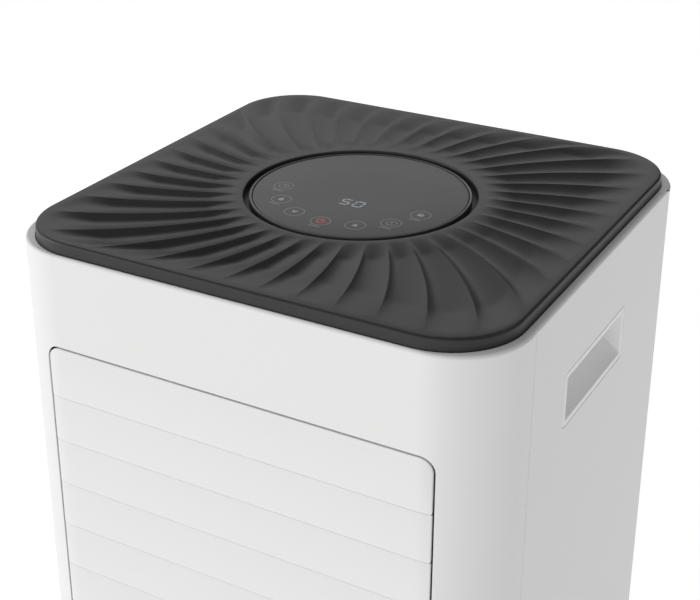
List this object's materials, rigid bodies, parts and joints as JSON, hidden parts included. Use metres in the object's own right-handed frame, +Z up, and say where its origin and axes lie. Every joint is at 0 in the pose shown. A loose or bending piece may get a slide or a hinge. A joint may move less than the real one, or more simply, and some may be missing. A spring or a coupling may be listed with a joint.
{
  "type": "dehumidifier",
  "caption": "Upright dehumidifier on castors: wrap-round case, swirled top cover with touch control, louvred intake panel and slide-out water tank.",
  "frame": {"origin": "on the floor under the castors, below the middle of the case", "axes": "+Z up, front of the cabinet faces -Y, +X is the right-hand side seen from the front"},
  "size_m": [0.352, 0.34, 0.6],
  "materials": {
    "case_white": "satin white, slight mould texture",
    "base_grey": "matt mid grey",
    "cover_black": "satin black",
    "inner_plastic": "matt grey",
    "ring_dark": "semi-gloss dark grey",
    "touch_glass": "glossy tinted dark glass",
    "circuit_board": "green solder resist",
    "spring_steel": "drawn wire",
    "display_white": "two glowing digits in a dark body",
    "screw_steel": "zinc-plated",
    "filter_grey": "matt grey",
    "filter_net": "fine nylon net",
    "tank_clear": "clear smoky plastic",
    "window_clear": "clear dark plastic",
    "float_white": "matt white",
    "switch_black": "matt black",
    "fin_aluminium": "thin rolled sheet",
    "copper_tube": "drawn copper tube",
    "sheet_steel": "galvanised sheet",
    "compressor_black": "black enamel",
    "grommet_rubber": "soft black rubber",
    "motor_steel": "painted grey",
    "fan_plastic": "matt dark plastic",
    "capacitor_can": "drawn can",
    "plug_rubber": "soft grey rubber",
    "castor_steel": "zinc-plated pressed steel",
    "castor_wheel": "hard black plastic"
  },
  "bodies": {
    "cabinet": {"front_shell": "case_white", "rear_shell": "case_white", "case_screws": "screw_steel", "handle_cup_left": "case_white", "handle_cup_right": "case_white", "top_cover": "cover_black", "top_frame": "inner_plastic", "display_carrier": "inner_plastic", "control_ring": "ring_dark", "control_glass": "touch_glass", "control_board": "circuit_board", "touch_springs": "spring_steel", "digit_display": "display_white", "base_pan": "base_grey", "drip_tray": "inner_plastic", "tank_bay": "inner_plastic", "level_switch": "switch_black", "evaporator_fins": "fin_aluminium", "evaporator_tube": "copper_tube", "condenser_fins": "fin_aluminium", "condenser_tube": "copper_tube", "coil_end_plates": "sheet_steel", "compressor": "compressor_black", "compressor_grommets": "grommet_rubber", "compressor_studs": "screw_steel", "terminal_cover": "switch_black", "accumulator": "compressor_black", "discharge_pipe": "copper_tube", "suction_pipe": "copper_tube", "filter_drier": "copper_tube", "capillary_tube": "copper_tube", "fan_shroud": "inner_plastic", "motor_bracket": "sheet_steel", "fan_motor": "motor_steel", "power_box": "inner_plastic", "main_board": "circuit_board", "run_capacitor": "capacitor_can", "outlet_grille": "case_white", "drain_spout": "base_grey", "cord_gland": "switch_black"},
    "intake_panel": {"intake_grille": "case_white", "hinge_pins": "screw_steel", "filter_frame": "filter_grey", "filter_mesh": "filter_net"},
    "tank": {"water_tank": "tank_clear", "tank_front": "case_white", "level_window": "window_clear"},
    "tank_float": {"float_arm": "float_white", "float_block": "float_white"},
    "fan": {"fan_impeller": "fan_plastic", "fan_shaft": "screw_steel"},
    "plug": {"drain_plug": "plug_rubber"},
    "castor_front_left": {"castor_fork_front_left": "castor_steel"},
    "wheel_front_left": {"castor_wheel_front_left": "castor_wheel"},
    "castor_front_right": {"castor_fork_front_right": "castor_steel"},
    "wheel_front_right": {"castor_wheel_front_right": "castor_wheel"},
    "castor_rear_left": {"castor_fork_rear_left": "castor_steel"},
    "wheel_rear_left": {"castor_wheel_rear_left": "castor_wheel"},
    "castor_rear_right": {"castor_fork_rear_right": "castor_steel"},
    "wheel_rear_right": {"castor_wheel_rear_right": "castor_wheel"}
  },
  "joints": [
    {"name": "intake_panel_tilt", "type": "hinge", "parent": "cabinet", "child": "intake_panel", "pos_m": [0, -0.161, 0.2602], "axis": [1, 0, 0], "range_deg": [0, 35]},
    {"name": "tank_slide", "type": "slide", "parent": "cabinet", "child": "tank", "axis": [0, -1, 0], "range_m": [0, 0.2]},
    {"name": "float_lift", "type": "hinge", "parent": "tank", "child": "tank_float", "pos_m": [0.095, -0.0012, 0.18], "axis": [-1, 0, 0], "range_deg": [0, 24]},
    {"name": "fan_spin", "type": "hinge", "parent": "cabinet", "child": "fan", "pos_m": [0, -0.052, 0.367], "axis": [0, 1, 0], "continuous": true},
    {"name": "drain_plug_pull", "type": "slide", "parent": "cabinet", "child": "plug", "axis": [0, 1, 0], "range_m": [0, 0.03]},
    {"name": "castor_swivel_front_left", "type": "hinge", "parent": "cabinet", "child": "castor_front_left", "pos_m": [-0.128, -0.122, 0.05], "axis": [0, 0, 1], "continuous": true},
    {"name": "wheel_spin_front_left", "type": "hinge", "parent": "castor_front_left", "child": "wheel_front_left", "pos_m": [-0.128, -0.108, 0.02], "axis": [1, 0, 0], "continuous": true},
    {"name": "castor_swivel_front_right", "type": "hinge", "parent": "cabinet", "child": "castor_front_right", "pos_m": [0.128, -0.122, 0.05], "axis": [0, 0, 1], "continuous": true},
    {"name": "wheel_spin_front_right", "type": "hinge", "parent": "castor_front_right", "child": "wheel_front_right", "pos_m": [0.128, -0.108, 0.02], "axis": [1, 0, 0], "continuous": true},
    {"name": "castor_swivel_rear_left", "type": "hinge", "parent": "cabinet", "child": "castor_rear_left", "pos_m": [-0.128, 0.122, 0.05], "axis": [0, 0, 1], "continuous": true},
    {"name": "wheel_spin_rear_left", "type": "hinge", "parent": "castor_rear_left", "child": "wheel_rear_left", "pos_m": [-0.128, 0.136, 0.02], "axis": [1, 0, 0], "continuous": true},
    {"name": "castor_swivel_rear_right", "type": "hinge", "parent": "cabinet", "child": "castor_rear_right", "pos_m": [0.128, 0.122, 0.05], "axis": [0, 0, 1], "continuous": true},
    {"name": "wheel_spin_rear_right", "type": "hinge", "parent": "castor_rear_right", "child": "wheel_rear_right", "pos_m": [0.128, 0.136, 0.02], "axis": [1, 0, 0], "continuous": true}
  ]
}
